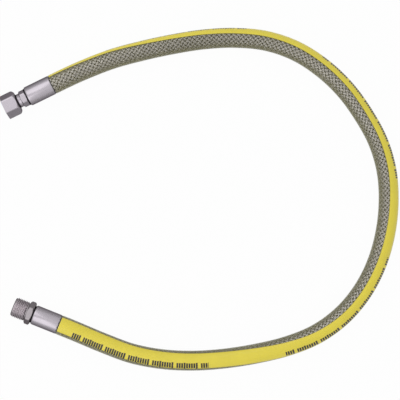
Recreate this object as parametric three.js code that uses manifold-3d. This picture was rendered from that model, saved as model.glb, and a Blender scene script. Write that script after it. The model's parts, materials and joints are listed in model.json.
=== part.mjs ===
// Flexible gas hose, laid out in a loop on a flat surface.
// One end carries a swivel nut, the other a male pipe thread. Millimetres, +Z up.
import * as THREE from "three";
import { mergeVertices } from "three/addons/utils/BufferGeometryUtils.js";
import Module from "manifold-3d";

const wasm = await Module();
wasm.setup();

// Hose, from the inside out.
const GAP = 0.3; // room left between neighbouring pieces
const LINER_R = 7.95; // outside of the corrugated liner
const LINER_WALL = 0.35;
const BRAID_WALL = 0.5;
const JACKET_WALL = 1.3;
const SIDES = 12; // sides of the hose sections
const STEPS = 24; // sections along the free hose
const LOOP = 1; // size of the laid-out loop
const REST_HEIGHT = 0.07; // keeps the hose's lowest edge clear of the surface

// Lengths along a fitting, counted outwards from the end of the jacket.
const SEAL_END = 1.2;
const FERRULE_LENGTH = 27.6;
const WELD_ROOM = 2.6; // what is left of a ferrule past the ends of the liner and braid
const WELD_RING_LENGTH = 1.7;
const GROOVE = 1.3; // dark gap between a ferrule and the hex next to it
const TAIL_HEX_LENGTH = 5.8;
const NECK_VISIBLE = 4.1; // bare neck between the tail's hex and the nut
const NUT_LENGTH = 15.4;
const NUT_LIP = 2.6; // thickness of the nut's inward lip
const FLANGE = 2; // thickness of the tail's flange, which the lip pulls on
const GASKET = 2;
const NUT_SLIDE = 3.5; // how far the nut slides back towards the hose
const MALE_HEX_LENGTH = 6;
const THREAD_LENGTH = 15.3;

// Sizes across a fitting.
const FERRULE_WALL = 1.25;
const THREAD_MAJOR = 10.48; // G1/2 pipe thread
const THREAD_DEPTH = 1.16;
const PITCH = 1.814;
const NECK_R = 7.2;
const LIP_ROOM = 0.5; // between the neck and the hole in the nut's lip
const LIP_HOLD = 1.3; // how far the tail's flange stands past that hole
const FLANGE_ROOM = 0.32; // between the flange and the thread that it lies in
const TAIL_STEP = 0.8; // from the neck up to a flat of the tail's hex
const NUT_WALL = 1.02; // from the nut's thread to a flat
const MALE_STEP = 0.52; // from the male thread up to a flat of its hex
const TAIL_BORE = 5.5;
const MALE_BORE = 6;

// Sizes that follow from the ones above.
const BRAID_IN = LINER_R + GAP;
const BRAID_OUT = BRAID_IN + BRAID_WALL;
const JACKET_IN = BRAID_OUT + GAP;
const JACKET_OUT = JACKET_IN + JACKET_WALL;
const HOSE_HEIGHT = JACKET_OUT + REST_HEIGHT;
const FERRULE_OUT = JACKET_IN + FERRULE_WALL;
const FERRULE_START = SEAL_END + GAP;
const FERRULE_END = FERRULE_START + FERRULE_LENGTH;
const BRAID_INSERT = FERRULE_LENGTH - WELD_ROOM; // how far the liner and braid reach in
const SHANK_START = BRAID_INSERT + WELD_RING_LENGTH + 2 * GAP;
const SHANK_R = JACKET_IN - 0.45;
const HEX_START = FERRULE_END + GROOVE;
const THREAD_MINOR = THREAD_MAJOR - THREAD_DEPTH;
const LIP_R = NECK_R + LIP_ROOM;
const FLANGE_R = Math.max(THREAD_MINOR - FLANGE_ROOM, LIP_R + LIP_HOLD);
const NUT_MINOR = Math.max(THREAD_MINOR, FLANGE_R + FLANGE_ROOM);
const NUT_MAJOR = NUT_MINOR + THREAD_DEPTH;
const TAIL_AF = 2 * (NECK_R + TAIL_STEP); // across flats
const NUT_AF = 2 * (NUT_MAJOR + NUT_WALL);
const MALE_AF = 2 * (THREAD_MAJOR + MALE_STEP);

// Where the jacket ends, and which way each fitting points, in degrees.
// The origin is the middle of the two fittings' footprint, on the surface.
const SWIVEL_END = { x: 22.43, y: 125.21, height: Math.max(NUT_AF / 2, FERRULE_OUT), heading: 206.1 };
const MALE_END = { x: 29.73, y: -124.89, height: Math.max(MALE_AF / 2, FERRULE_OUT), heading: 158.1 };

// The hose between the fittings, from the swivel end to the male end.
const ROUTE = [
  [53.8, 140.0],
  [84.1, 151.7],
  [115.5, 160.2],
  [147.2, 167.0],
  [179.4, 172.0],
  [211.8, 173.6],
  [244.0, 170.5],
  [274.5, 160.2],
  [302.0, 142.8],
  [325.7, 120.6],
  [344.9, 94.5],
  [360.5, 65.7],
  [369.5, 34.6],
  [371.5, 2.1],
  [367.9, -30.4],
  [358.8, -61.8],
  [343.8, -90.6],
  [322.7, -115.5],
  [296.2, -134.6],
  [266.2, -146.8],
  [234.3, -154.6],
  [202.0, -159.7],
  [169.7, -162.0],
  [137.0, -160.6],
  [104.9, -154.6],
  [74.3, -143.4],
  [54.4, -135.1],
];

// A closed body turned round the Y axis.
function turned(profile, segments = 40) {
  const points = profile.map(([r, y]) => new THREE.Vector2(r, y));
  return new THREE.LatheGeometry(points, segments);
}

// A ring: its profile runs outwards along the bottom and back to its start.
function ringBody(profile, segments = 40) {
  return turned([...profile, profile[0]], segments);
}

function hexPrism(acrossFlats, from, to) {
  const corner = acrossFlats / Math.sqrt(3);
  const prism = new THREE.CylinderGeometry(corner, corner, to - from, 6, 1, false, Math.PI / 6);
  return prism.translate(0, (from + to) / 2, 0);
}

function solid(geometry) {
  const bare = geometry.clone();
  bare.deleteAttribute("normal");
  bare.deleteAttribute("uv");
  const merged = mergeVertices(bare, 1e-4);
  const mesh = new wasm.Mesh({
    numProp: 3,
    vertProperties: merged.attributes.position.array,
    triVerts: new Uint32Array(merged.index.array),
  });
  return new wasm.Manifold(mesh);
}

function surface(body) {
  const mesh = body.getMesh();
  const geometry = new THREE.BufferGeometry();
  geometry.setAttribute("position", new THREE.BufferAttribute(mesh.vertProperties, 3));
  geometry.setIndex(new THREE.BufferAttribute(mesh.triVerts, 1));
  const faceted = geometry.toNonIndexed();
  faceted.computeVertexNormals();
  return faceted;
}

// Radius of a pipe thread at a height and an angle round the axis.
function threadRadius(major, y, angle) {
  const phase = y / PITCH - angle / (2 * Math.PI);
  const wave = Math.abs((phase - Math.floor(phase)) * 2 - 1);
  return major - THREAD_DEPTH * (1 - wave);
}

// A turned core whose rings between two heights follow the thread's helix.
function threadedCore(major, before, from, to, after) {
  const count = Math.round(((to - from) / PITCH) * 6);
  const rings = [];
  for (let i = 0; i <= count; i += 1) {
    rings.push([major, from + ((to - from) * i) / count]);
  }
  const core = turned([...before, ...rings, ...after], 32);
  const place = core.attributes.position;
  for (let i = 0; i < place.count; i += 1) {
    const x = place.getX(i);
    const y = place.getY(i);
    const z = place.getZ(i);
    const onThread = y > from - 1e-4 && y < to + 1e-4 && Math.hypot(x, z) > major - 1e-4;
    if (onThread) {
      const scale = threadRadius(major, y, Math.atan2(x, z)) / Math.hypot(x, z);
      place.setXYZ(i, x * scale, y, z * scale);
    }
  }
  return core;
}

function bore(radius, from, to) {
  return turned([[0, from], [radius, from], [radius, to], [0, to]], 32);
}

function ferrule() {
  return ringBody([
    [JACKET_IN, FERRULE_START],
    [FERRULE_OUT - 0.3, FERRULE_START],
    [FERRULE_OUT, FERRULE_START + 0.4],
    [FERRULE_OUT, FERRULE_END - 1.4],
    [FERRULE_OUT - 0.25, FERRULE_END - 0.6],
    [FERRULE_OUT - 0.8, FERRULE_END],
    [JACKET_IN, FERRULE_END],
  ]);
}

function endSeal() {
  return ringBody([
    [JACKET_IN, GAP],
    [JACKET_OUT - 0.5, GAP],
    [JACKET_OUT - 0.5, SEAL_END],
    [JACKET_IN, SEAL_END],
  ]);
}

// The ring that closes the liner's and the braid's end against the fitting's shank.
function weldRing() {
  const from = BRAID_INSERT + GAP;
  return ringBody([
    [MALE_BORE + 0.2, from],
    [BRAID_OUT, from],
    [BRAID_OUT, from + WELD_RING_LENGTH],
    [MALE_BORE + 0.2, from + WELD_RING_LENGTH],
  ]);
}

const TAIL_HEX_END = HEX_START + TAIL_HEX_LENGTH;
const NUT_START = TAIL_HEX_END + NECK_VISIBLE;
const NUT_END = NUT_START + NUT_LENGTH;
const FLANGE_START = NUT_START + NUT_LIP + GAP;
const FLANGE_END = FLANGE_START + FLANGE;
const GASKET_START = FLANGE_END + NUT_SLIDE + 0.4;

function swivelTail() {
  const corner = TAIL_AF / Math.sqrt(3);
  const stem = turned([
    [0, SHANK_START],
    [SHANK_R, SHANK_START],
    [SHANK_R, HEX_START + 0.5],
    [NECK_R, HEX_START + 1.5],
    [NECK_R, FLANGE_START],
    [FLANGE_R, FLANGE_START],
    [FLANGE_R, FLANGE_END - 0.3],
    [FLANGE_R - 0.3, FLANGE_END],
    [0, FLANGE_END],
  ]);
  const envelope = turned([
    [0, HEX_START],
    [corner - 0.9, HEX_START],
    [corner + 0.05, HEX_START + 0.6],
    [corner + 0.05, TAIL_HEX_END - 0.9],
    [corner - 1.3, TAIL_HEX_END],
    [0, TAIL_HEX_END],
  ]);
  const hex = solid(hexPrism(TAIL_AF, HEX_START, TAIL_HEX_END)).intersect(solid(envelope));
  const way = solid(bore(TAIL_BORE, SHANK_START - 1, FLANGE_END + 1));
  return surface(solid(stem).add(hex).subtract(way));
}

function swivelNut() {
  const corner = NUT_AF / Math.sqrt(3);
  const envelope = turned([
    [0, NUT_START],
    [corner - 3.7, NUT_START],
    [corner - 2.3, NUT_START + 0.5],
    [corner - 1.0, NUT_START + 1.6],
    [corner - 0.2, NUT_START + 3.2],
    [corner + 0.1, NUT_START + 4.4],
    [corner + 0.1, NUT_END - 0.6],
    [corner - 0.7, NUT_END],
    [0, NUT_END],
  ]);
  const socket = threadedCore(
    NUT_MAJOR,
    [
      [0, NUT_START + NUT_LIP],
      [NUT_MAJOR + 0.1, NUT_START + NUT_LIP],
      [NUT_MAJOR + 0.1, NUT_START + NUT_LIP + 2],
    ],
    NUT_START + NUT_LIP + 2.6,
    NUT_END - 0.9,
    [
      [NUT_MAJOR - 0.1, NUT_END - 0.5],
      [NUT_MAJOR + 0.4, NUT_END],
      [NUT_MAJOR + 0.4, NUT_END + 1],
      [0, NUT_END + 1],
    ],
  );
  const body = solid(hexPrism(NUT_AF, NUT_START, NUT_END)).intersect(solid(envelope));
  const lipHole = solid(bore(LIP_R, NUT_START - 1, NUT_START + NUT_LIP + 1));
  return surface(body.subtract(solid(socket)).subtract(lipHole));
}

// The flat washer held in the nut's thread.
function seatGasket() {
  const outer = NUT_MINOR - GAP;
  return ringBody([
    [TAIL_BORE + 0.7, GASKET_START],
    [outer, GASKET_START],
    [outer, GASKET_START + GASKET],
    [TAIL_BORE + 0.7, GASKET_START + GASKET],
  ]);
}

function maleFitting() {
  const corner = MALE_AF / Math.sqrt(3);
  const hexEnd = HEX_START + MALE_HEX_LENGTH;
  const end = hexEnd + THREAD_LENGTH;
  const shank = turned([
    [0, SHANK_START],
    [SHANK_R, SHANK_START],
    [SHANK_R, HEX_START + 1],
    [0, HEX_START + 1],
  ]);
  const envelope = turned([
    [0, HEX_START],
    [corner - 1.7, HEX_START],
    [corner + 0.05, HEX_START + 1.2],
    [corner + 0.05, hexEnd - 1.5],
    [corner - 2.0, hexEnd],
    [0, hexEnd],
  ]);
  const thread = threadedCore(
    THREAD_MAJOR,
    [
      [0, hexEnd - 1],
      [THREAD_MINOR, hexEnd - 1],
      [THREAD_MINOR, hexEnd + 0.5],
    ],
    hexEnd + 0.8,
    end - 1,
    [
      [THREAD_MINOR, end - 0.2],
      [THREAD_MINOR - 0.2, end],
      [0, end],
    ],
  );
  const hex = solid(hexPrism(MALE_AF, HEX_START, hexEnd)).intersect(solid(envelope));
  const way = solid(bore(MALE_BORE, SHANK_START - 1, end + 1));
  return surface(solid(shank).add(hex).add(solid(thread)).subtract(way));
}

// A curve whose evenly spaced points are the stations themselves.
class Stations extends THREE.Curve {
  constructor(points, tangents) {
    super();
    this.points = points;
    this.tangents = tangents;
  }
  between(list, u) {
    const place = u * (list.length - 1);
    const low = Math.min(Math.floor(place + 1e-9), list.length - 2);
    return list[low].clone().lerp(list[low + 1], place - low);
  }
  getPointAt(u) {
    return this.between(this.points, u);
  }
  getTangentAt(u) {
    return this.between(this.tangents, u).normalize();
  }
}

function outward(end) {
  const angle = THREE.MathUtils.degToRad(end.heading);
  return new THREE.Vector3(Math.cos(angle), Math.sin(angle), 0);
}

function alongFitting(end, distance) {
  const start = new THREE.Vector3(end.x * LOOP, end.y * LOOP, end.height);
  return start.addScaledVector(outward(end), distance);
}

// Points and directions along the hose, with one more at each end inside its ferrule.
function hoseStations(insert) {
  const free = new THREE.CatmullRomCurve3([
    alongFitting(SWIVEL_END, 0),
    alongFitting(SWIVEL_END, -14),
    ...ROUTE.map(([x, y]) => new THREE.Vector3(x * LOOP, y * LOOP, HOSE_HEIGHT)),
    alongFitting(MALE_END, -14),
    alongFitting(MALE_END, 0),
  ]);
  const points = [];
  const tangents = [];
  for (let i = 0; i <= STEPS; i += 1) {
    points.push(free.getPointAt(i / STEPS));
    tangents.push(free.getTangentAt(i / STEPS));
  }
  tangents[0] = outward(SWIVEL_END).negate();
  tangents[STEPS] = outward(MALE_END);
  if (insert > 0) {
    points.unshift(alongFitting(SWIVEL_END, insert));
    tangents.unshift(outward(SWIVEL_END).negate());
    points.push(alongFitting(MALE_END, insert));
    tangents.push(outward(MALE_END));
  }
  return new Stations(points, tangents);
}

function circle(radius) {
  const corners = [];
  for (let i = 0; i < SIDES; i += 1) {
    const angle = (i * 2 * Math.PI) / SIDES;
    corners.push(new THREE.Vector2(radius * Math.cos(angle), radius * Math.sin(angle)));
  }
  return corners;
}

function tube(outer, inner, insert) {
  const path = hoseStations(insert);
  const section = new THREE.Shape(circle(outer));
  section.holes.push(new THREE.Path(circle(inner)));
  return new THREE.ExtrudeGeometry(section, {
    steps: path.points.length - 1,
    extrudePath: path,
    bevelEnabled: false,
  });
}

const steel = { color: 0xc6c1c8, metalness: 0.9, roughness: 0.3 };
const darkSteel = { color: 0x8b878c, metalness: 0.9, roughness: 0.4 };
const wire = { color: 0xb9b6ae, metalness: 0.8, roughness: 0.4 };
const rubber = { color: 0x1c1b1b, metalness: 0, roughness: 0.8 };
const clear = { color: 0xd8d8c8, metalness: 0, roughness: 0.2 };

const root = new THREE.Group();

function addPiece(name, geometry, look, end) {
  const mesh = new THREE.Mesh(geometry, new THREE.MeshStandardMaterial(look));
  mesh.name = name;
  if (end) {
    const y = outward(end);
    const up = new THREE.Vector3(0, 0, 1);
    mesh.applyMatrix4(new THREE.Matrix4().makeBasis(y.clone().cross(up), y, up));
    mesh.position.copy(alongFitting(end, 0));
  }
  root.add(mesh);
}

addPiece("hose_jacket", tube(JACKET_OUT, JACKET_IN, 0), clear);
addPiece("wire_braid", tube(BRAID_OUT, BRAID_IN, BRAID_INSERT), wire);
addPiece("corrugated_liner", tube(LINER_R, LINER_R - LINER_WALL, BRAID_INSERT), steel);
addPiece("swivel_seal", endSeal(), rubber, SWIVEL_END);
addPiece("swivel_ferrule", ferrule(), steel, SWIVEL_END);
addPiece("swivel_weld_ring", weldRing(), steel, SWIVEL_END);
addPiece("swivel_tail", swivelTail(), darkSteel, SWIVEL_END);
addPiece("seat_gasket", seatGasket(), rubber, SWIVEL_END);
addPiece("swivel_nut", swivelNut(), steel, SWIVEL_END);
addPiece("male_seal", endSeal(), rubber, MALE_END);
addPiece("male_ferrule", ferrule(), steel, MALE_END);
addPiece("male_weld_ring", weldRing(), steel, MALE_END);
addPiece("male_fitting", maleFitting(), darkSteel, MALE_END);

export default root;
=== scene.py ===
"""Braided gas hose with a swivel nut and a male thread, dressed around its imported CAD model."""

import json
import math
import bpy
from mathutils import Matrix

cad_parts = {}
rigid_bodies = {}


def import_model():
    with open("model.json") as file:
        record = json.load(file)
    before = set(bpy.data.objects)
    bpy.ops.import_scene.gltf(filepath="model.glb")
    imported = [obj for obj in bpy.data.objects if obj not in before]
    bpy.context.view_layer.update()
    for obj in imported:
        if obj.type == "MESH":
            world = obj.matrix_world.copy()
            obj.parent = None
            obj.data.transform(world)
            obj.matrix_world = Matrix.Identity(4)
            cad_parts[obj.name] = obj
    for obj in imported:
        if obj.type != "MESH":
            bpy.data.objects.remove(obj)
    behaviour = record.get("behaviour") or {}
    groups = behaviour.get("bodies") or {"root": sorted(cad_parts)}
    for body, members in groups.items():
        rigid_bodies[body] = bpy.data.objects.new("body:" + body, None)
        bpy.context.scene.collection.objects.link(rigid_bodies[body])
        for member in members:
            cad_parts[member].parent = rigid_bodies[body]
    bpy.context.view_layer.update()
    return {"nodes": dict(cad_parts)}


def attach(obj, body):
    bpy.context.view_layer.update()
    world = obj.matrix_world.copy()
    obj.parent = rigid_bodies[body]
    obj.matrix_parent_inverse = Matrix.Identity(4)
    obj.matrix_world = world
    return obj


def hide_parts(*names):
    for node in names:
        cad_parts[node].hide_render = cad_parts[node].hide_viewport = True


bl_info = {
    "name": "Braided gas hose",
    "version": (1, 0, 0),
    "blender": (4, 5, 0),
    "location": "3D View > Sidebar > Gas hose",
    "description": "Makes the hose, its braid, its end fittings and the stage they lie on",
    "category": "Object",
}

import bpy
import numpy as np

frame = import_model()
MM = 0.001

# The hose's middle line between the fittings, from the swivel end, in metres.
ROUTE = [
    (0.0538, 0.1400),
    (0.0841, 0.1517),
    (0.1155, 0.1602),
    (0.1472, 0.1670),
    (0.1794, 0.1720),
    (0.2118, 0.1736),
    (0.2440, 0.1705),
    (0.2745, 0.1602),
    (0.3020, 0.1428),
    (0.3257, 0.1206),
    (0.3449, 0.0945),
    (0.3605, 0.0657),
    (0.3695, 0.0346),
    (0.3715, 0.0021),
    (0.3679, -0.0304),
    (0.3588, -0.0618),
    (0.3438, -0.0906),
    (0.3227, -0.1155),
    (0.2962, -0.1346),
    (0.2662, -0.1468),
    (0.2343, -0.1546),
    (0.2020, -0.1597),
    (0.1697, -0.1620),
    (0.1370, -0.1606),
    (0.1049, -0.1546),
    (0.0743, -0.1434),
    (0.0544, -0.1351),
]

# Where the jacket ends, the height of the fitting's axis and the way it points.
SWIVEL_END = {"at": (0.02243, 0.12521, 0.0115), "heading": math.radians(206.1)}
MALE_END = {"at": (0.02973, -0.12489, 0.0110), "heading": math.radians(158.1)}

LEAD_IN = 0.014  # straight length of hose in front of each fitting, in metres
LIFT = 0.00007  # keeps the stripe's outside clear of the floor

# The turn of the stripe's middle round the hose, in degrees from the top towards the loop's
# outside, against the share of the free hose.
STRIPE_TURN = (
    (0.00, 99), (0.08, 90.5), (0.14, 77), (0.20, 70.5), (0.32, 65), (0.45, 55.5), (0.55, 44.5),
    (0.60, 41), (0.65, 39), (0.70, 28), (0.75, 14), (0.80, 0), (0.85, -3), (0.93, -9.5),
    (1.00, -11),
)

# The same for the middle of the marks printed on the stripe.
MARK_TURN = (
    (0.00, 92), (0.15, 82), (0.25, 76), (0.33, 68), (0.40, 64), (0.48, 63), (0.58, 61),
    (0.656, 55), (0.70, 47), (0.73, 42), (0.82, 27), (0.90, 23), (1.00, 22),
)


# ---------------------------------------------------------------- settings


class HoseSizes(bpy.types.PropertyGroup):
    """Sizes of the flexible part."""

    jacket_radius: bpy.props.FloatProperty(
        name="Jacket radius", description="Outside of the clear jacket", default=0.01035,
        unit="LENGTH")
    jacket_wall: bpy.props.FloatProperty(
        name="Jacket wall", description="Thickness of the clear jacket", default=0.00035,
        unit="LENGTH")
    stripe_half: bpy.props.FloatProperty(
        name="Stripe half width", description="Half of the stripe's width round the hose",
        default=math.radians(50), subtype="ANGLE")
    braid_radius: bpy.props.FloatProperty(
        name="Braid radius", description="Middle of the braid's two layers", default=0.00958,
        unit="LENGTH")
    braid_carriers: bpy.props.IntProperty(
        name="Strands each way", description="Strands of wire that wind one way round",
        default=13, min=8, max=32, subtype="UNSIGNED")
    braid_lead: bpy.props.FloatProperty(
        name="Braid lead", description="Length in which a strand goes once round the hose",
        default=0.066, unit="LENGTH")
    strand_width: bpy.props.FloatProperty(
        name="Strand width", description="Width of one flat strand of wires", default=0.00284,
        unit="LENGTH")
    strand_thickness: bpy.props.FloatProperty(
        name="Strand thickness", description="Thickness of one strand", default=0.00026,
        unit="LENGTH")
    liner_radius: bpy.props.FloatProperty(
        name="Liner radius", description="Crests of the corrugated liner", default=0.0082,
        unit="LENGTH")
    liner_depth: bpy.props.FloatProperty(
        name="Corrugation depth", description="Crest to root of the liner", default=0.0022,
        unit="LENGTH")
    liner_pitch: bpy.props.FloatProperty(
        name="Corrugation pitch", description="Crest to crest along the liner", default=0.0031,
        unit="LENGTH")
    insert: bpy.props.FloatProperty(
        name="Insert", description="How far the liner and braid reach into a ferrule",
        default=0.025, unit="LENGTH")


class Colours(bpy.types.PropertyGroup):
    """Base colours of the finishes."""

    steel: bpy.props.FloatVectorProperty(
        name="Plated steel", description="Nut, tail and ferrules", size=3, subtype="COLOR",
        default=(0.44, 0.408, 0.446), min=0, max=1)
    thread: bpy.props.FloatVectorProperty(
        name="Threaded steel", description="Male fitting", size=3, subtype="COLOR",
        default=(0.34, 0.312, 0.328), min=0, max=1)
    wire: bpy.props.FloatVectorProperty(
        name="Braid wire", description="Steel wires of the braid", size=3, subtype="COLOR",
        default=(0.55, 0.522, 0.488), min=0, max=1)
    # Painted shade: the liner's colour is kept dark so that the holes in the braid look shadowed.
    liner: bpy.props.FloatVectorProperty(
        name="Liner", description="Steel under the braid, dark as painted shade", size=3, subtype="COLOR",
        default=(0.15, 0.13, 0.09), min=0, max=1)
    clear: bpy.props.FloatVectorProperty(
        name="Clear jacket", description="Tint of the clear jacket", size=3, subtype="COLOR",
        default=(0.25, 0.235, 0.10), min=0, max=1)
    yellow: bpy.props.FloatVectorProperty(
        name="Stripe", description="Yellow of the stripe", size=3, subtype="COLOR",
        default=(0.89, 0.75, 0.065), min=0, max=1)


# ---------------------------------------------------------------- node trees


class Term:
    """A socket that takes part in arithmetic: each operation adds its Math node."""

    def __init__(self, tree, socket):
        self.tree = tree
        self.socket = socket

    def math(self, operation, *values):
        return add(self.tree, "ShaderNodeMath", {"operation": operation}, values)

    def __add__(self, other):
        return self.math("ADD", self, other)

    __radd__ = __add__

    def __mul__(self, other):
        return self.math("MULTIPLY", self, other)

    def __sub__(self, other):
        return self.math("SUBTRACT", self, other)

    def __rsub__(self, other):
        return self.math("SUBTRACT", other, self)

    def __truediv__(self, other):
        return self.math("DIVIDE", self, other)

    def __lt__(self, other):
        return self.math("LESS_THAN", self, other)

    def __gt__(self, other):
        return self.math("GREATER_THAN", self, other)

    def __abs__(self):
        return self.math("ABSOLUTE", self)

    def sin(self):
        return self.math("SINE", self)

    def cos(self):
        return self.math("COSINE", self)

    def fract(self):
        return self.math("FRACT", self)

    def power(self, other):
        return self.math("POWER", self, other)

    def within(self, low, high):
        return self.math("MAXIMUM", self.math("MINIMUM", self, high), low)


def add(tree, kind, settings=None, values=(), output=0):
    """Adds a node: its settings first, then its sockets, by place or by name."""
    node = tree.nodes.new(kind)
    for key, value in (settings or {}).items():
        setattr(node, key, value)
    pairs = values.items() if isinstance(values, dict) else enumerate(values)
    for key, value in pairs:
        if value is None:
            continue
        socket = node.inputs[key]
        if isinstance(value, Term):
            tree.links.new(value.socket, socket)
        elif isinstance(value, bpy.types.NodeSocket):
            tree.links.new(value, socket)
        else:
            socket.default_value = value
    if output is None:
        return node
    return Term(tree, node.outputs[output])


def seen_rays(tree):
    """1 for the rays that show the background, straight or in metal and clear plastic."""
    paths = add(tree, "ShaderNodeLightPath", output=None)
    rays = ("Is Camera Ray", "Is Glossy Ray", "Is Transmission Ray")
    return sum((Term(tree, paths.outputs[ray]) for ray in rays), 0.0).within(0.0, 1.0)


class Finish:
    """A material being made, with the few patterns that the finishes share."""

    def __init__(self, name):
        self.material = bpy.data.materials.new(name)
        self.material.use_nodes = True
        self.tree = self.material.node_tree
        self.tree.nodes.clear()

    def put(self, kind, settings=None, values=(), output=0):
        return add(self.tree, kind, settings, values, output)

    def place(self):
        return self.put("ShaderNodeTexCoord", output="Object")

    def attribute(self, name):
        return self.put("ShaderNodeAttribute", {"attribute_name": name}, output="Fac")

    def noise(self, scale, detail):
        values = {"Vector": self.place(), "Scale": scale, "Detail": detail}
        return self.put("ShaderNodeTexNoise", None, values, "Fac")

    def noise_along(self, value, scale):
        return self.put("ShaderNodeTexNoise", {"noise_dimensions": "1D"},
                        {"W": value, "Scale": scale, "Detail": 3.0}, "Fac")

    def facing(self):
        """0 where the surface faces the eye, 1 where it is seen edge on."""
        return self.put("ShaderNodeLayerWeight", None, {"Blend": 0.5}, "Facing")

    def mix(self, share, first, second):
        values = {"Factor": share, 6: first, 7: second}
        return self.put("ShaderNodeMix", {"data_type": "RGBA"}, values, 2)

    def bump(self, height, strength, distance):
        return self.put("ShaderNodeBump", None,
                        {"Strength": strength, "Distance": distance, "Height": height}, "Normal")

    def close(self, values):
        """Puts the values on one surface shader and ends the material there."""
        shader = self.put("ShaderNodeBsdfPrincipled", None, values, "BSDF")
        self.put("ShaderNodeOutputMaterial", None, {"Surface": shader}, None)
        return self.material


def rgba(colour, shade=1.0):
    """A colour as a socket takes it, made darker or lighter by a shade."""
    return (colour[0] * shade, colour[1] * shade, colour[2] * shade, 1.0)


def plated(name, colour, roughness, bands=()):
    """Semi-bright plated steel, darkened edge on as painted shade. A band (start, stop, shade)
    in millimetres along the fitting's axis is made darker or lighter by its shade; the dark
    bands in the grooves are painted shade."""
    f = Finish(name)
    cloud = f.noise(90.0, 4.0)
    axial = f.attribute("axial")
    lines = f.noise_along(axial, 3000.0)
    speck = f.noise(1100.0, 2.0)
    edge = f.facing()
    tone = f.mix(cloud, rgba(colour, 0.92), rgba(colour, 1.06))
    worn = ((speck - 0.5) * 0.6).within(0.0, 1.0)
    shade = f.mix(worn, tone, rgba(colour, 0.55))
    # Each band mixes in a darker or lighter copy of the colour; the dark bands in grooves are
    # painted shade.
    for start, stop, by in bands:
        inside = (axial > start * MM) * (axial < stop * MM)
        shade = f.mix(inside, shade, rgba(colour, by))
    # Painted shade: the steel is made darker where it is seen edge on.
    dim = f.mix((edge * 2.1).power(1.6).within(0.0, 0.85), (1, 1, 1, 1), (0.4, 0.4, 0.4, 1))
    shade = f.put("ShaderNodeVectorMath", {"operation": "MULTIPLY"}, [shade, dim], "Vector")
    height = lines * 0.6 + speck * 0.4
    return f.close({
        "Base Color": shade,
        "Metallic": 1.0,
        "Specular Tint": (0.35, 0.32, 0.33, 1.0),
        "Roughness": cloud * 0.1 + lines * 0.06 + roughness,
        "Normal": f.bump(height, 0.06, 0.00002),
    })


def wire_finish(name, colour):
    """Bright drawn wires lying side by side in a strand."""
    f = Finish(name)
    across = f.attribute("across")
    rounds = (across * (math.pi * 6.0)).cos() * 0.5 + 0.5
    # Painted shade: the colour darkens in the grooves between the wires.
    groove = 1.0 - rounds.power(0.5)
    dull = f.noise(260.0, 2.0)
    tone = f.mix(dull, rgba(colour, 0.88), rgba(colour, 1.12))
    return f.close({
        "Base Color": f.mix(groove * 0.4, tone, rgba(colour, 0.4)),
        "Metallic": 0.85,
        "Roughness": dull * 0.15 + 0.3,
        "Normal": f.bump(rounds, 0.6, 0.00012),
    })


def clear_finish(name, colour):
    """Clear soft plastic, faintly tinted, denser to the eye where it is seen edge on."""
    f = Finish(name)
    ripple = f.noise(160.0, 2.0)
    edge = f.facing()
    return f.close({
        "Base Color": rgba(colour),
        "Roughness": 0.12,
        "IOR": 1.5,
        "Alpha": (edge.power(1.2) * 0.72 + 0.13).within(0.0, 1.0),
        "Normal": f.bump(ripple, 0.1, 0.0004),
    })


def stripe_finish(name, colour):
    """Glossy yellow plastic with a plain printed scale: four runs of marks in groups of ten,
    every fifth of them taller. The tree's "mark" is the turn from the marks' middle."""
    f = Finish(name)
    along = f.attribute("along")
    turn = abs(f.attribute("mark"))
    rim = abs(f.attribute("rim"))
    ticks = 360.0  # along the whole hose, counting the gaps
    half_height, extra = 16.5, 3.0  # degrees round the hose, and more for a taller mark
    run = (along * 4.0 - 0.284).fract() < 0.645
    group = (along * (ticks / 10)).fract() < 0.87
    tick = (along * ticks).fract() < 0.76
    fifth = (along * (ticks / 5)).fract() < 0.2
    ink = run * group * tick * (turn < fifth * extra + half_height)
    cloud = f.noise(70.0, 3.0)
    tone = f.mix(cloud, rgba(colour, 0.93), rgba(colour, 1.07))
    edge = f.facing()
    # Painted shade: a dark olive line along the stripe's rims, and darker olive where it is seen
    # edge on.
    shaded_rims = f.mix((rim > 0.955) * 0.7, tone, (0.10, 0.09, 0.03, 1.0))
    shaded_rims = f.mix(edge.power(5.0) * 0.75, shaded_rims, (0.20, 0.18, 0.04, 1.0))
    return f.close({
        "Base Color": f.mix(ink, shaded_rims, (0.016, 0.01, 0.003, 1.0)),
        "Roughness": cloud * 0.12 + 0.36,
        "Coat Weight": 0.15,
        "Normal": f.bump(f.noise(300.0, 2.0), 0.08, 0.0003),
    })


def rubber_finish(name, shade):
    """Matt grey rubber with a fine grain."""
    f = Finish(name)
    grey = (shade, shade, shade)
    grain = f.noise(900.0, 3.0)
    return f.close({
        "Base Color": f.mix(grain, rgba(grey), rgba(grey, 1.8)),
        "Roughness": grain * 0.2 + 0.6,
        "Normal": f.bump(grain, 0.3, 0.0001),
    })


# ---------------------------------------------------------------- meshes


def outward(end):
    """The way a fitting points, away from the hose."""
    return np.array([math.cos(end["heading"]), math.sin(end["heading"]), 0.0])


def along_fitting(end, distance):
    """A point of a fitting's axis, counted from the end of the jacket, in metres."""
    return np.array(end["at"]) + outward(end) * distance


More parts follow.
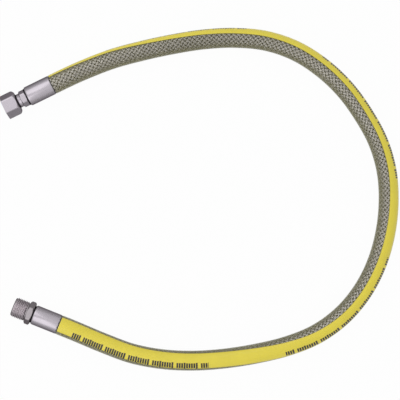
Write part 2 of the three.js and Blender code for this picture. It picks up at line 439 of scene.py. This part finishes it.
def smooth_line(points, per=60):
    """The centripetal curve through the points, as close steps."""
    p = np.asarray(points, float)
    p = np.vstack([2 * p[0] - p[1], p, 2 * p[-1] - p[-2]])
    steps = []
    for a, b, c, d in zip(p, p[1:], p[2:], p[3:]):
        t1 = np.linalg.norm(b - a) ** 0.5
        t2 = t1 + np.linalg.norm(c - b) ** 0.5
        t3 = t2 + np.linalg.norm(d - c) ** 0.5
        t = np.linspace(t1, t2, per, endpoint=False)[:, None]
        a1 = (t1 - t) / t1 * a + t / t1 * b
        a2 = (t2 - t) / (t2 - t1) * b + (t - t1) / (t2 - t1) * c
        a3 = (t3 - t) / (t3 - t2) * c + (t - t2) / (t3 - t2) * d
        b1 = (t2 - t) / t2 * a1 + t / t2 * a2
        b2 = (t3 - t) / (t3 - t1) * a2 + (t - t1) / (t3 - t1) * a3
        steps.append((t2 - t) / (t2 - t1) * b1 + (t - t1) / (t2 - t1) * b2)
    steps.append(p[-2][None])
    return np.vstack(steps)


def even(line, count):
    """The same line as evenly spaced points."""
    run = np.r_[0, np.cumsum(np.linalg.norm(np.diff(line, axis=0), axis=1))]
    at = np.linspace(0, run[-1], count)
    return np.stack([np.interp(at, run, line[:, k]) for k in range(3)], 1)


def free_line(sizes, count=901):
    """The hose's middle line between the two ends of its jacket."""
    height = sizes.jacket_radius + LIFT
    points = [along_fitting(SWIVEL_END, 0), along_fitting(SWIVEL_END, -LEAD_IN)]
    points += [np.array([x, y, height]) for x, y in ROUTE]
    points += [along_fitting(MALE_END, -LEAD_IN), along_fitting(MALE_END, 0)]
    return even(smooth_line(points), count)


def inner_line(sizes):
    """The free line with the lengths that the liner and the braid reach into the ferrules."""
    ends = [along_fitting(end, sizes.insert)[None] for end in (SWIVEL_END, MALE_END)]
    return np.vstack([ends[0], free_line(sizes), ends[1]])


def line_length(line):
    """The length of a line of points, in metres."""
    return float(np.linalg.norm(np.diff(line, axis=0), axis=1).sum())


def directions(line):
    """Unit vectors to the loop's outside and up, at each of the line's points."""
    along = np.gradient(line, axis=0)
    along /= np.linalg.norm(along, axis=1)[:, None]
    side = np.cross([0.0, 0.0, 1.0], along)
    side /= np.linalg.norm(side, axis=1)[:, None]
    return side, np.cross(along, side)


def rings(line, radius, angle):
    """Points round the line, a row for each of its points."""
    side, up = directions(line)
    round_it = np.cos(angle)[..., None] * up[:, None] + np.sin(angle)[..., None] * side[:, None]
    return line[:, None] + round_it * radius[..., None]


def grid_faces(rows, columns, wrap_rows, wrap_columns):
    """Quads of a grid of vertices, closed on itself either way or both."""
    r = np.arange(rows if wrap_rows else rows - 1)[:, None]
    c = np.arange(columns if wrap_columns else columns - 1)[None, :]
    r2 = (r + 1) % rows
    c2 = (c + 1) % columns
    quads = np.stack(np.broadcast_arrays(r * columns + c, r * columns + c2,
                                         r2 * columns + c2, r2 * columns + c), -1)
    return quads.reshape(-1, 4)


def make_mesh(name, vertices, quads, extra=(), attributes=None, crease=35.0):
    """A mesh object with smooth faces and sharp edges where it turns by more than crease."""
    mesh = bpy.data.meshes.new(name)
    faces = [list(map(int, q)) for q in quads] + [list(map(int, e)) for e in extra]
    mesh.from_pydata(vertices.tolist(), [], faces)
    mesh.validate()
    for key, value in (attributes or {}).items():
        layer = mesh.attributes.new(key, "FLOAT", "POINT")
        layer.data.foreach_set("value", np.asarray(value, np.float32))
    mesh.polygons.foreach_set("use_smooth", np.ones(len(mesh.polygons), bool))
    mesh.set_sharp_from_angle(angle=math.radians(crease))
    mesh.update()
    obj = bpy.data.objects.new(name, mesh)
    bpy.context.scene.collection.objects.link(obj)
    return obj


def dress(obj, material, body, slot, *nodes):
    """Gives a piece its finish and its body, and hides the CAD nodes that it stands for. The slot
    is not used.
    """
    obj.data.materials.clear()
    obj.data.materials.append(material)
    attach(obj, body)
    if nodes:
        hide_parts(*nodes)


def swept(name, line, section, attributes, **options):
    """A closed section carried along a line. The section gives (radius, angle) per row."""
    radius, angle = section
    points = rings(line, radius, angle)
    rows, columns = radius.shape
    quads = grid_faces(rows, columns, False, True)[:, ::-1]
    ends = [list(range(columns)), list(range(rows * columns - 1, (rows - 1) * columns - 1, -1))]
    return make_mesh(name, points.reshape(-1, 3), quads, ends, attributes, **options)


# Lengths along a fitting, counted outwards from the end of the jacket, in millimetres.
SEAL_END = 1.2
FERRULE_START = 1.5
FERRULE_END = 29.1
SHANK_START = 27.3
HEX_START = 30.4
TAIL_HEX_END = 36.2
NUT_START = 40.3
NUT_LIP = 42.9
FLANGE_START = 43.2
FLANGE_END = 45.2
GASKET_START = 49.1
GASKET_END = 51.1
NUT_END = 55.7
MALE_HEX_END = 36.4
MALE_TIP = 51.7
BEYOND = 99  # past the end of either fitting

# Radii, bores and widths across flats of the fittings, and their thread, in millimetres.
JACKET_IN = 9.5
SEAL_IN = 9.88
SEAL_OUT = 10.05
FERRULE_OUT = 10.3
SHANK_R = 9.05
TAIL_BORE = 5.5
NECK_R = 7.2
FLANGE_R = 9.0
GASKET_BORE = 6.2
GASKET_R = 9.02
NUT_HOLE = 7.7
MALE_BORE = 6.0
TAIL_AF = 16
NUT_AF = 23
MALE_AF = 22
PITCH = 1.814
THREAD_MAJOR = 10.48
THREAD_MINOR = 9.32
THREAD_PLAY = 0.08


def thread_wave(y, angle):
    """0 at the thread's root and 1 at its crest, with narrow flats on both."""
    phase = y / PITCH - angle / (2 * math.pi)
    wave = np.abs((phase - np.floor(phase)) * 2 - 1)
    return np.clip((wave - 0.12) / 0.76, 0, 1)


def hex_radius(across, angle, rounding=0.35):
    """Distance from the axis to a hexagon with a flat facing up."""
    folded = np.mod(angle + math.pi / 6, math.pi / 3) - math.pi / 6
    flat = across / 2 / np.cos(folded)
    return np.minimum(flat, across / math.sqrt(3) - rounding)


def turned(name, profile, end, segments=144, across=0.0, crease=32.0):
    """A ring-shaped body round a fitting's axis. Each profile point is (radius, height) or
    (radius, height, kind): "hex" cuts it to the hexagon, "thread" lays it on the helix."""
    angle = np.linspace(0, 2 * math.pi, segments, endpoint=False)
    rows = []
    heights = []
    for point in profile:
        radius, y = point[:2]
        kind = point[2] if len(point) > 2 else "round"
        ring = np.full(segments, float(radius))
        if kind == "hex":
            ring = np.minimum(ring, hex_radius(across, angle))
        if kind.startswith("thread"):
            clearance = THREAD_PLAY if kind.endswith("inside") else 0.0
            depth = THREAD_MAJOR - THREAD_MINOR
            ring = THREAD_MINOR + clearance + depth * thread_wave(y, angle) * point[3]
        rows.append(ring)
        heights.append(y)
    radius = np.array(rows)
    y = np.array(heights)[:, None] * np.ones(segments)
    forward = outward(end)
    across_axis = np.cross(forward, [0.0, 0.0, 1.0])
    points = np.array(end["at"]) + MM * (
        (radius * np.sin(angle))[..., None] * across_axis
        + y[..., None] * forward
        + (radius * np.cos(angle))[..., None] * np.array([0.0, 0.0, 1.0]))
    quads = grid_faces(len(profile), segments, True, True)
    return make_mesh(name, points.reshape(-1, 3), quads, (), {"axial": y.ravel() * MM}, crease)


def finely(first, last, count):
    """Points of a hexagon's profile between two of them, the first included."""
    share = np.linspace(0, 1, count, endpoint=False)
    return [(first[0] + (last[0] - first[0]) * s, first[1] + (last[1] - first[1]) * s, "hex")
            for s in share]


def thread_rows(start, stop, kind, fade_start, fade_stop, per_turn=12):
    """Rows of a thread, which runs out over a length at either end."""
    count = int(round(abs(stop - start) / PITCH * per_turn))
    low, high = min(start, stop), max(start, stop)
    rows = []
    for y in np.linspace(start, stop, count + 1):
        share = min(1.0, (y - low) / fade_start, (high - y) / fade_stop)
        rows.append((THREAD_MAJOR, y, kind, max(share, 0.0)))
    return rows


def hexagon(across, stop, near, far):
    """Rows of a hexagon from HEX_START to stop. Its corners are turned off at both ends, each
    given as how far the radius drops, over which length and in how many steps."""
    corner = across / math.sqrt(3)
    full = corner + 0.05
    near_drop, near_length, near_steps = near
    far_drop, far_length, far_steps = far
    rise, fall = HEX_START + near_length, stop - far_length
    rows = finely((corner - near_drop, HEX_START), (full, rise), near_steps)
    rows += finely((full, rise), (full, fall), 3)
    rows += finely((full, fall), (corner - far_drop, stop), far_steps)
    return rows + [(corner - far_drop, stop, "hex")]


# ---------------------------------------------------------------- geometry nodes


def curve_object(name, line):
    """A curve through the line's points, for a geometry tree to follow."""
    curve = bpy.data.curves.new(name, "CURVE")
    curve.dimensions = "3D"
    spline = curve.splines.new("POLY")
    spline.points.add(len(line) - 1)
    flat = np.c_[line, np.ones(len(line))].ravel()
    spline.points.foreach_set("co", flat)
    obj = bpy.data.objects.new(name, curve)
    bpy.context.scene.collection.objects.link(obj)
    return obj


class HoseTree:
    """A geometry tree that lays things on the hose, with named inputs."""

    def __init__(self, name, inputs):
        self.tree = bpy.data.node_groups.new(name, "GeometryNodeTree")
        face = self.tree.interface
        face.new_socket("Geometry", in_out="OUTPUT", socket_type="NodeSocketGeometry")
        self.ids = {}
        for label, kind in inputs.items():
            self.ids[label] = face.new_socket(label, in_out="INPUT", socket_type=kind).identifier
        self.enter = self.tree.nodes.new("NodeGroupInput")

    def value(self, label):
        return Term(self.tree, self.enter.outputs[label])

    def put(self, kind, settings=None, values=(), output=0):
        return add(self.tree, kind, settings, values, output)

    def vector(self, operation, *values):
        return self.put("ShaderNodeVectorMath", {"operation": operation}, values)

    def scaled(self, vector, by):
        return self.put("ShaderNodeVectorMath", {"operation": "SCALE"},
                        {"Vector": vector, "Scale": by})

    def on_hose(self, distance, radius, turn):
        """The point at a distance along the hose, a radius from its middle and a turn round it."""
        line = self.put("GeometryNodeObjectInfo", {"transform_space": "ORIGINAL"},
                        {"Object": self.value("Line")}, "Geometry")
        sample = self.put("GeometryNodeSampleCurve", {"mode": "LENGTH", "use_all_curves": True},
                          {"Curves": line, "Length": distance}, None)
        middle = Term(self.tree, sample.outputs["Position"])
        along = Term(self.tree, sample.outputs["Tangent"])
        side = self.vector("NORMALIZE", self.vector("CROSS_PRODUCT", (0.0, 0.0, 1.0), along))
        up = self.vector("CROSS_PRODUCT", along, side)
        lift = self.scaled(up, turn.cos() * radius)
        swing = self.scaled(side, turn.sin() * radius)
        return self.vector("ADD", middle, self.vector("ADD", lift, swing))

    def store(self, geometry, name, value, domain="POINT"):
        return self.put("GeometryNodeStoreNamedAttribute",
                        {"data_type": "FLOAT", "domain": domain},
                        {"Geometry": geometry, "Name": name, "Value": value})

    def finish(self, geometry, material):
        whole = self.put("GeometryNodeRealizeInstances", None, {"Geometry": geometry})
        smooth = self.put("GeometryNodeSetShadeSmooth", None, {"Geometry": whole})
        painted = self.put("GeometryNodeSetMaterial", None,
                           {"Geometry": smooth, "Material": material})
        self.put("NodeGroupOutput", None, {0: painted}, None)

    def grow(self, name, values):
        """Runs the tree with these inputs and returns its result as a plain mesh object."""
        carrier = bpy.data.objects.new(name + "_maker", bpy.data.meshes.new(name + "_maker"))
        bpy.context.scene.collection.objects.link(carrier)
        modifier = carrier.modifiers.new("Hose", "NODES")
        modifier.node_group = self.tree
        for label, value in values.items():
            modifier[self.ids[label]] = value
        bpy.context.view_layer.update()
        graph = bpy.context.evaluated_depsgraph_get()
        mesh = bpy.data.meshes.new_from_object(carrier.evaluated_get(graph))
        bpy.data.objects.remove(carrier)
        mesh.name = name
        if not mesh.polygons:
            raise RuntimeError(name + " came out empty")
        obj = bpy.data.objects.new(name, mesh)
        bpy.context.scene.collection.objects.link(obj)
        return obj


def strand_tree(material):
    """Flat strands that wind one way round the hose and weave over one and under one."""
    t = HoseTree("Braid strands", {
        "Line": "NodeSocketObject", "Strands": "NodeSocketInt", "Steps": "NodeSocketInt",
        "Lead": "NodeSocketFloat", "Radius": "NodeSocketFloat", "Swing": "NodeSocketFloat",
        "Width": "NodeSocketFloat", "Thickness": "NodeSocketFloat", "Way": "NodeSocketFloat",
        "From": "NodeSocketFloat", "To": "NodeSocketFloat", "Whole": "NodeSocketFloat",
        "Insert": "NodeSocketFloat", "Pinch": "NodeSocketFloat",
    })
    # Each strand starts as a straight rod of six sides, x across it and z along it.
    rod = t.put("GeometryNodeMeshCylinder", {"fill_type": "NGON"},
                {"Vertices": 6, "Side Segments": t.value("Steps"), "Radius": 1.0, "Depth": 1.0},
                "Mesh")
    one = t.put("GeometryNodeGeometryToInstance", None, [rod])
    copies = t.put("GeometryNodeDuplicateElements", {"domain": "INSTANCE"},
                   {"Geometry": one, "Amount": t.value("Strands")}, None)
    copied = Term(t.tree, copies.outputs["Geometry"])
    number = Term(t.tree, copies.outputs["Duplicate Index"])
    numbered = t.store(copied, "strand", number, "INSTANCE")
    whole = t.put("GeometryNodeRealizeInstances", None, {"Geometry": numbered})
    strand = t.put("GeometryNodeInputNamedAttribute", {"data_type": "FLOAT"}, {"Name": "strand"},
                   "Attribute")
    place = t.put("GeometryNodeInputPosition", output=0)
    split = t.put("ShaderNodeSeparateXYZ", None, [place], None)
    x, y, z = (Term(t.tree, s) for s in split.outputs)
    way = t.value("Way")
    run = t.value("From") + (z + 0.5) * (t.value("To") - t.value("From"))
    crossings = run * 2.0 * t.value("Strands") / t.value("Lead")
    weave = ((crossings + 0.5) * math.pi).sin() * 1.25
    slope = t.value("Radius") * (2 * math.pi) / t.value("Lead")
    lean = slope.math("ARCTANGENT", slope)
    shift = x * t.value("Width") * 0.5
    turn = (strand / t.value("Strands") + way * run / t.value("Lead")) * (2 * math.pi)
    turn = turn + shift * lean.cos() / t.value("Radius")
    # Inside a ferrule the braid narrows by the pinch, from 1.8 mm in to 4.8 mm in.
    inside = t.value("Insert") - run.math("MINIMUM", run, t.value("Whole") - run)
    held = (inside / 0.003 - 0.6).within(0.0, 1.0)
    radius = t.value("Radius") + way * weave.within(-1.0, 1.0) * t.value("Swing")
    radius = radius - held * t.value("Pinch")
    # The six-sided rod is 1.73 high, so 0.58 makes it one thickness high.
    radius = radius + y * t.value("Thickness") * 0.58
    distance = run - way * shift * lean.sin()
    moved = t.put("GeometryNodeSetPosition", None,
                  {"Geometry": whole, "Position": t.on_hose(distance, radius, turn)})
    t.finish(t.store(moved, "across", x), material)
    return t


def liner_tree(material):
    """A thin tube whose radius swells and shrinks in even waves along the hose."""
    t = HoseTree("Corrugated liner", {
        "Line": "NodeSocketObject", "Steps": "NodeSocketInt", "Crest": "NodeSocketFloat",
        "Depth": "NodeSocketFloat", "Pitch": "NodeSocketFloat", "Length": "NodeSocketFloat",
    })
    tube = t.put("GeometryNodeMeshCylinder", {"fill_type": "NONE"},
                 {"Vertices": 20, "Side Segments": t.value("Steps"), "Radius": 1.0, "Depth": 1.0},
                 "Mesh")
    place = t.put("GeometryNodeInputPosition", output=0)
    split = t.put("ShaderNodeSeparateXYZ", None, [place], None)
    x, y, z = (Term(t.tree, s) for s in split.outputs)
    run = (z + 0.5) * t.value("Length")
    wave = (run / t.value("Pitch") * (2 * math.pi)).cos() * 0.5 - 0.5
    turn = y.math("ARCTAN2", y, x)
    radius = t.value("Crest") + wave * t.value("Depth")
    moved = t.put("GeometryNodeSetPosition", None,
                  {"Geometry": tube, "Position": t.on_hose(run, radius, turn)})
    t.finish(moved, material)
    return t


# ---------------------------------------------------------------- operators


class GASHOSE_OT_camera(bpy.types.Operator):
    """Sets the camera straight above the hose."""

    bl_idname = "gashose.camera"
    bl_label = "Camera"

    def execute(self, context):
        width = 0.416
        height = 1.5
        data = bpy.data.cameras.new("Overhead")
        data.sensor_width = 36.0
        data.lens = 36.0 * height / width
        data.clip_end = 20.0
        camera = bpy.data.objects.new("Overhead", data)
        camera.location = (0.1754, 0.00505, height + 0.0105)
        context.scene.collection.objects.link(camera)
        context.scene.camera = camera
        return {"FINISHED"}


class GASHOSE_OT_jacket(bpy.types.Operator):
    bl_idname = "gashose.jacket"
    bl_label = "Clear jacket"

    def execute(self, context):
        sizes = context.scene.gashose_sizes
        line = free_line(sizes, 441)
        sides = 64
        turns = np.tile(np.linspace(0, 2 * math.pi, sides, endpoint=False), (len(line), 1))
        outside = np.full(turns.shape, sizes.jacket_radius)
        outer = rings(line, outside, turns)
        inner = rings(line, outside - sizes.jacket_wall, turns)
        points = np.concatenate([outer, inner[::-1]])
        quads = grid_faces(2 * len(line), sides, True, True)[:, ::-1]
        jacket = make_mesh("clear_jacket", points.reshape(-1, 3), quads, crease=40.0)
        material = clear_finish("Clear jacket", context.scene.gashose_colours.clear)
        dress(jacket, material, "hose", "jacket_clear", "hose_jacket")
        return {"FINISHED"}


class GASHOSE_OT_stripe(bpy.types.Operator):
    """Makes the yellow stripe that slowly turns round the hose."""

    bl_idname = "gashose.stripe"
    bl_label = "Yellow stripe"

    def execute(self, context):
        sizes = context.scene.gashose_sizes
        line = free_line(sizes, 601)
        share = np.linspace(0, 1, len(line))
        centre = np.radians(np.interp(share, *zip(*STRIPE_TURN)))
        window = 31  # points over which the stripe's turn is smoothed
        padded = np.pad(centre, window // 2, mode="edge")
        centre = np.convolve(padded, np.ones(window) / window, "valid")
        marks = np.radians(np.interp(share, *zip(*MARK_TURN)))
        steps = np.linspace(-1, 1, 21) * sizes.stripe_half
        angle = centre[:, None] + np.r_[steps, steps[::-1]]
        proud, deep = 0.00003, 0.00040  # out past the jacket, and in through its wall
        outer = np.full((len(line), len(steps)), sizes.jacket_radius + proud)
        inner = np.full((len(line), len(steps)), sizes.jacket_radius - deep)
        radius = np.concatenate([outer, inner], 1)
        attributes = {
            "along": (share[:, None] * np.ones(angle.shape[1])).ravel(),
            "mark": np.degrees(angle - marks[:, None]).ravel(),
            "rim": (np.r_[steps, steps[::-1]] / sizes.stripe_half
                    * np.ones((len(line), 1))).ravel(),
        }
        stripe = swept("yellow_stripe", line, (radius, angle), attributes, crease=50.0)
        material = stripe_finish("Yellow stripe", context.scene.gashose_colours.yellow)
        dress(stripe, material, "hose", "jacket_clear")
        return {"FINISHED"}


class GASHOSE_OT_braid(bpy.types.Operator):
    """Winds the steel strands of the braid both ways round the hose."""

    bl_idname = "gashose.braid"
    bl_label = "Wire braid"

    def execute(self, context):
        sizes = context.scene.gashose_sizes
        line = inner_line(sizes)
        guide = curve_object("hose_line", line)
        material = wire_finish("Braid wire", context.scene.gashose_colours.wire)
        tree = strand_tree(material)
        whole = line_length(line)
        steps = 760  # along each half of the hose
        swing = 0.00024  # how far a strand rises and dips where it crosses others
        pinch = 0.0006  # how much the braid's radius drops inside a ferrule
        free_tip = 0.0012  # bare length of line past each end of the strands
        made = []
        for way, word in ((1.0, "right"), (-1.0, "left")):
            for part in (0, 1):
                strand = tree.grow(f"braid_{word}_{part + 1}", {
                    "Line": guide, "Strands": sizes.braid_carriers, "Steps": steps,
                    "Lead": sizes.braid_lead, "Radius": sizes.braid_radius, "Swing": swing,
                    "Width": sizes.strand_width, "Thickness": sizes.strand_thickness,
                    "Way": way, "From": max(whole * part / 2, free_tip),
                    "To": min(whole * (part + 1) / 2, whole - free_tip),
                    "Whole": whole, "Insert": sizes.insert, "Pinch": pinch})
                made.append(strand)
        dress(made[0], material, "hose", "braid_steel", "wire_braid")
        for strand in made[1:]:
            dress(strand, material, "hose", "braid_steel")
        bpy.data.objects.remove(guide)
        return {"FINISHED"}


class GASHOSE_OT_liner(bpy.types.Operator):
    """Makes the corrugated steel liner inside the braid."""

    bl_idname = "gashose.liner"
    bl_label = "Corrugated liner"

    def execute(self, context):
        sizes = context.scene.gashose_sizes
        line = inner_line(sizes)
        guide = curve_object("liner_line", line)
        material = plated("Liner steel", context.scene.gashose_colours.liner, 0.45)
        whole = line_length(line)
        tree = liner_tree(material)
        liner = tree.grow("liner", {
            "Line": guide, "Steps": int(whole / sizes.liner_pitch * 8),
            "Crest": sizes.liner_radius, "Depth": sizes.liner_depth,
            "Pitch": sizes.liner_pitch, "Length": whole})
        dress(liner, material, "hose", "liner_steel", "corrugated_liner")
        bpy.data.objects.remove(guide)
        return {"FINISHED"}


def ferrule_profile():
    """A plain sleeve, slightly rolled in towards the hexagon."""
    return [
        (JACKET_IN, FERRULE_START + 3.6), (9.9, FERRULE_START + 2.6), (9.9, FERRULE_START),
        (FERRULE_OUT - 0.25, FERRULE_START),
        (FERRULE_OUT - 0.1, FERRULE_START + 0.12), (FERRULE_OUT, FERRULE_START + 0.4),
        (FERRULE_OUT, FERRULE_END - 1.8), (FERRULE_OUT - 0.06, FERRULE_END - 1.2),
        (FERRULE_OUT - 0.25, FERRULE_END - 0.6), (FERRULE_OUT - 0.5, FERRULE_END - 0.2),
        (FERRULE_OUT - 0.75, FERRULE_END), (JACKET_IN, FERRULE_END),
    ]


class GASHOSE_OT_ferrules(bpy.types.Operator):
    """Makes both ferrules, the seals behind them and dresses the weld rings inside."""

    bl_idname = "gashose.ferrules"
    bl_label = "Ferrules and seals"

    def execute(self, context):
        colours = context.scene.gashose_colours
        # The band at the ferrule's front end is painted shade in the gap before the hexagon.
        steel = plated("Plated steel", colours.steel, 0.19, [(FERRULE_END - 0.3, BEYOND, 0.2)])
        # Painted shade: the weld ring is coloured near black to stand for the shadowed groove
        # between the ferrule and the hexagon.
        weld = plated("Weld ring painted shade", (0.10, 0.085, 0.09), 0.5)
        # The end seals are black rubber, made near black so that they also paint the shadow line
        # at each ferrule's mouth.
        rubber = rubber_finish("Black rubber", 0.008)
        for word, end in (("swivel", SWIVEL_END), ("male", MALE_END)):
            ferrule = turned(word + "_sleeve", ferrule_profile(), end, crease=60.0)
            dress(ferrule, steel, "hose", "fitting_steel", word + "_ferrule")
            seal = turned(word + "_end_seal", [
                (SEAL_IN, 0.3), (9.98, 0.3), (SEAL_OUT, 0.4), (SEAL_OUT, SEAL_END - 0.1),
                (9.98, SEAL_END), (SEAL_IN, SEAL_END)], end)
            dress(seal, rubber, "hose", "rubber_black", word + "_seal")
            ring = frame["nodes"][word + "_weld_ring"]
            ring.data.materials.clear()
            ring.data.materials.append(weld)
        return {"FINISHED"}


class GASHOSE_OT_swivel(bpy.types.Operator):
    """Makes the swivel tail, its nut and the gasket."""

    bl_idname = "gashose.swivel"
    bl_label = "Swivel end"

    def execute(self, context):
        colours = context.scene.gashose_colours
        steel = plated("Swivel steel", colours.steel, 0.22)
        tail = [(TAIL_BORE, SHANK_START), (SHANK_R, SHANK_START), (SHANK_R, HEX_START)]
        tail += hexagon(TAIL_AF, TAIL_HEX_END, (0.9, 0.6, 6), (1.3, 0.9, 8))
        tail += [(7.7, TAIL_HEX_END + 0.05), (7.35, TAIL_HEX_END + 0.2),
                 (NECK_R, TAIL_HEX_END + 0.6), (NECK_R, FLANGE_START), (8.8, FLANGE_START),
                 (FLANGE_R, FLANGE_START + 0.2), (FLANGE_R, FLANGE_END - 0.3),
                 (8.7, FLANGE_END), (TAIL_BORE, FLANGE_END)]
        body = turned("swivel_stem", tail, SWIVEL_END, across=TAIL_AF)
        # Painted shade: the shank in front of the hexagon and the neck under the back of the nut
        # are darkened where the grooves lie in shadow.
        neck_shaded = plated("Swivel neck steel", colours.steel, 0.22, [
            (0, HEX_START - 0.05, 0.06), (NUT_START - 1.1, BEYOND, 0.15)])
        dress(body, neck_shaded, "hose", "fitting_steel", "swivel_tail")
        corner = NUT_AF / math.sqrt(3)
        curve = [(corner - 3.7, NUT_START), (corner - 2.9, NUT_START + 0.12),
                 (corner - 2.3, NUT_START + 0.5), (corner - 1.6, NUT_START + 1.0),
                 (corner - 1.0, NUT_START + 1.6), (corner - 0.6, NUT_START + 2.3),
                 (corner - 0.2, NUT_START + 3.2), (corner + 0.1, NUT_START + 4.4),
                 (corner + 0.1, NUT_END - 0.6), (corner - 0.7, NUT_END)]
        nut = [(NUT_HOLE, NUT_START + 0.2), (NUT_HOLE + 0.2, NUT_START)]
        for first, last in zip(curve, curve[1:]):
            nut += finely(first, last, 6)
        nut += [(corner - 0.7, NUT_END, "hex"), (THREAD_MAJOR + 0.45, NUT_END),
                (THREAD_MAJOR - 0.1, NUT_END - 0.6)]
        nut += thread_rows(NUT_END - 0.8, NUT_LIP + 2.2, "thread inside", 0.9, 0.5)
        nut += [(THREAD_MAJOR + 0.1, NUT_LIP + 2.0), (THREAD_MAJOR + 0.1, NUT_LIP),
                (NUT_HOLE, NUT_LIP)]
        shell = turned("hex_nut", nut, SWIVEL_END, segments=180, across=NUT_AF)
        dress(shell, steel, "nut", "fitting_steel", "swivel_nut")
        washer = turned("flat_gasket", [
            (GASKET_BORE, GASKET_START), (8.9, GASKET_START), (GASKET_R, GASKET_START + 0.12),
            (GASKET_R, GASKET_END - 0.12), (8.9, GASKET_END), (GASKET_BORE, GASKET_END)],
            SWIVEL_END)
        dress(washer, rubber_finish("Gasket rubber", 0.02), "gasket", "gasket_rubber",
              "seat_gasket")
        return {"FINISHED"}


class GASHOSE_OT_male(bpy.types.Operator):
    """Makes the male fitting with its hexagon and pipe thread."""

    bl_idname = "gashose.male"
    bl_label = "Male end"

    def execute(self, context):
        colours = context.scene.gashose_colours
        # The shank's band is painted shade in the groove in front of the hexagon; the thread's
        # band is lighter and the tip's band darker.
        steel = plated("Threaded steel", colours.thread, 0.34, [
            (0, HEX_START - 0.05, 0.06), (MALE_HEX_END + 1.0, BEYOND, 2.3),
            (MALE_TIP - 1.1, BEYOND, 0.8)])
        rows = [(MALE_BORE, SHANK_START), (SHANK_R, SHANK_START), (SHANK_R, HEX_START)]
        rows += hexagon(MALE_AF, MALE_HEX_END, (1.7, 1.2, 8), (2.0, 1.5, 10))
        rows += [(THREAD_MINOR, MALE_HEX_END), (THREAD_MINOR, MALE_HEX_END + 0.5)]
        rows += thread_rows(MALE_HEX_END + 0.6, MALE_TIP - 0.3, "thread", 1.2, 1.4)
        rows += [(THREAD_MINOR - 0.25, MALE_TIP), (MALE_BORE + 0.3, MALE_TIP),
                 (MALE_BORE, MALE_TIP - 0.3)]
        body = turned("male_body", rows, MALE_END, across=MALE_AF)
        dress(body, steel, "hose", "thread_steel", "male_fitting")
        return {"FINISHED"}


class GASHOSE_OT_declare(bpy.types.Operator):
    """Works out the free hose's middle line and does nothing more with it."""

    bl_idname = "gashose.declare"
    bl_label = "Declare the hose"

    def execute(self, context):
        sizes = context.scene.gashose_sizes
        line = free_line(sizes, 301)
        return {"FINISHED"}


class GASHOSE_OT_stage(bpy.types.Operator):
    """Lays the pale floor and sets the soft lights."""

    bl_idname = "gashose.stage"
    bl_label = "Stage"

    def execute(self, context):
        scene = context.scene
        scene.view_settings.view_transform = "Standard"
        half, under = 3, -0.0002
        corners = [[-half, -half, under], [half, -half, under], [half, half, under],
                   [-half, half, under]]
        floor = make_mesh("floor", np.array(corners, float), np.array([[0, 1, 2, 3]]))
        f = Finish("Pale floor")
        matt = f.put("ShaderNodeBsdfDiffuse", None, {"Color": (0.8, 0.8, 0.8, 1.0)})
        glow = f.put("ShaderNodeEmission", None, {"Color": (1, 1, 1, 1), "Strength": 1.0})
        shown = 0.97  # the rest is matt, so that the floor keeps a faint shadow
        mixed = f.put("ShaderNodeMixShader", None, [seen_rays(f.tree) * shown, matt, glow])
        f.put("ShaderNodeOutputMaterial", None, {"Surface": mixed}, None)
        floor.data.materials.append(f.material)
        world = bpy.data.worlds.new("Studio")
        scene.world = world
        world.use_nodes = True
        world.node_tree.nodes.clear()
        light = 0.57  # as a light; the rays that show the world see plain white
        strength = seen_rays(world.node_tree) * (1 - light) + light
        sky = add(world.node_tree, "ShaderNodeBackground", None,
                  {"Color": (1, 1, 1, 1), "Strength": strength})
        add(world.node_tree, "ShaderNodeOutputWorld", None, {"Surface": sky}, None)
        # Soft boxes: name, place, width, depth and brightness.
        boxes = [("far_box", (-0.42, 0.84, 1.1), 1.1, 1.3, 0.85),
                 ("near_box", (-0.42, -0.84, 1.1), 1.1, 1.3, 0.85),
                 ("top_box", (0.15, 0.0, 2.2), 1.6, 1.6, 0.15)]
        for name, at, width, depth, bright in boxes:
            data = bpy.data.lights.new(name, "AREA")
            data.shape = "RECTANGLE"
            data.size = width
            data.size_y = depth
            data.energy = bright * math.pi * width * depth
            lamp = bpy.data.objects.new(name, data)
            lamp.location = at
            lamp.rotation_euler = (-math.atan2(at[1], at[2]), 0.0, 0.0)
            scene.collection.objects.link(lamp)
        return {"FINISHED"}


class GASHOSE_PT_panel(bpy.types.Panel):
    """Lists the pieces and their sizes."""

    bl_idname = "GASHOSE_PT_panel"
    bl_label = "Gas hose"
    bl_space_type = "VIEW_3D"
    bl_region_type = "UI"
    bl_category = "Gas hose"

    def draw(self, context):
        for group in (context.scene.gashose_sizes, context.scene.gashose_colours):
            box = self.layout.box()
            for key in group.bl_rna.properties.keys():
                if key not in ("rna_type", "name"):
                    box.prop(group, key)
        for operator in OPERATORS:
            self.layout.operator(operator.bl_idname)


OPERATORS = (
    GASHOSE_OT_camera,
    GASHOSE_OT_jacket,
    GASHOSE_OT_stripe,
    GASHOSE_OT_braid,
    GASHOSE_OT_liner,
    GASHOSE_OT_ferrules,
    GASHOSE_OT_swivel,
    GASHOSE_OT_male,
    GASHOSE_OT_declare,
    GASHOSE_OT_stage,
)
CLASSES = (HoseSizes, Colours) + OPERATORS + (GASHOSE_PT_panel,)


def register():
    """Adds the settings, the operators and the panel."""
    for item in CLASSES:
        bpy.utils.register_class(item)
    bpy.types.Scene.gashose_sizes = bpy.props.PointerProperty(type=HoseSizes)
    bpy.types.Scene.gashose_colours = bpy.props.PointerProperty(type=Colours)


def unregister():
    """Takes them away again, the last first."""
    del bpy.types.Scene.gashose_colours
    del bpy.types.Scene.gashose_sizes
    for item in reversed(CLASSES):
        bpy.utils.unregister_class(item)


def main():
    """Makes every piece."""
    register()
    for operator in OPERATORS:
        group, name = operator.bl_idname.split(".")
        getattr(getattr(bpy.ops, group), name)()


if __name__ == "__main__":
    main()
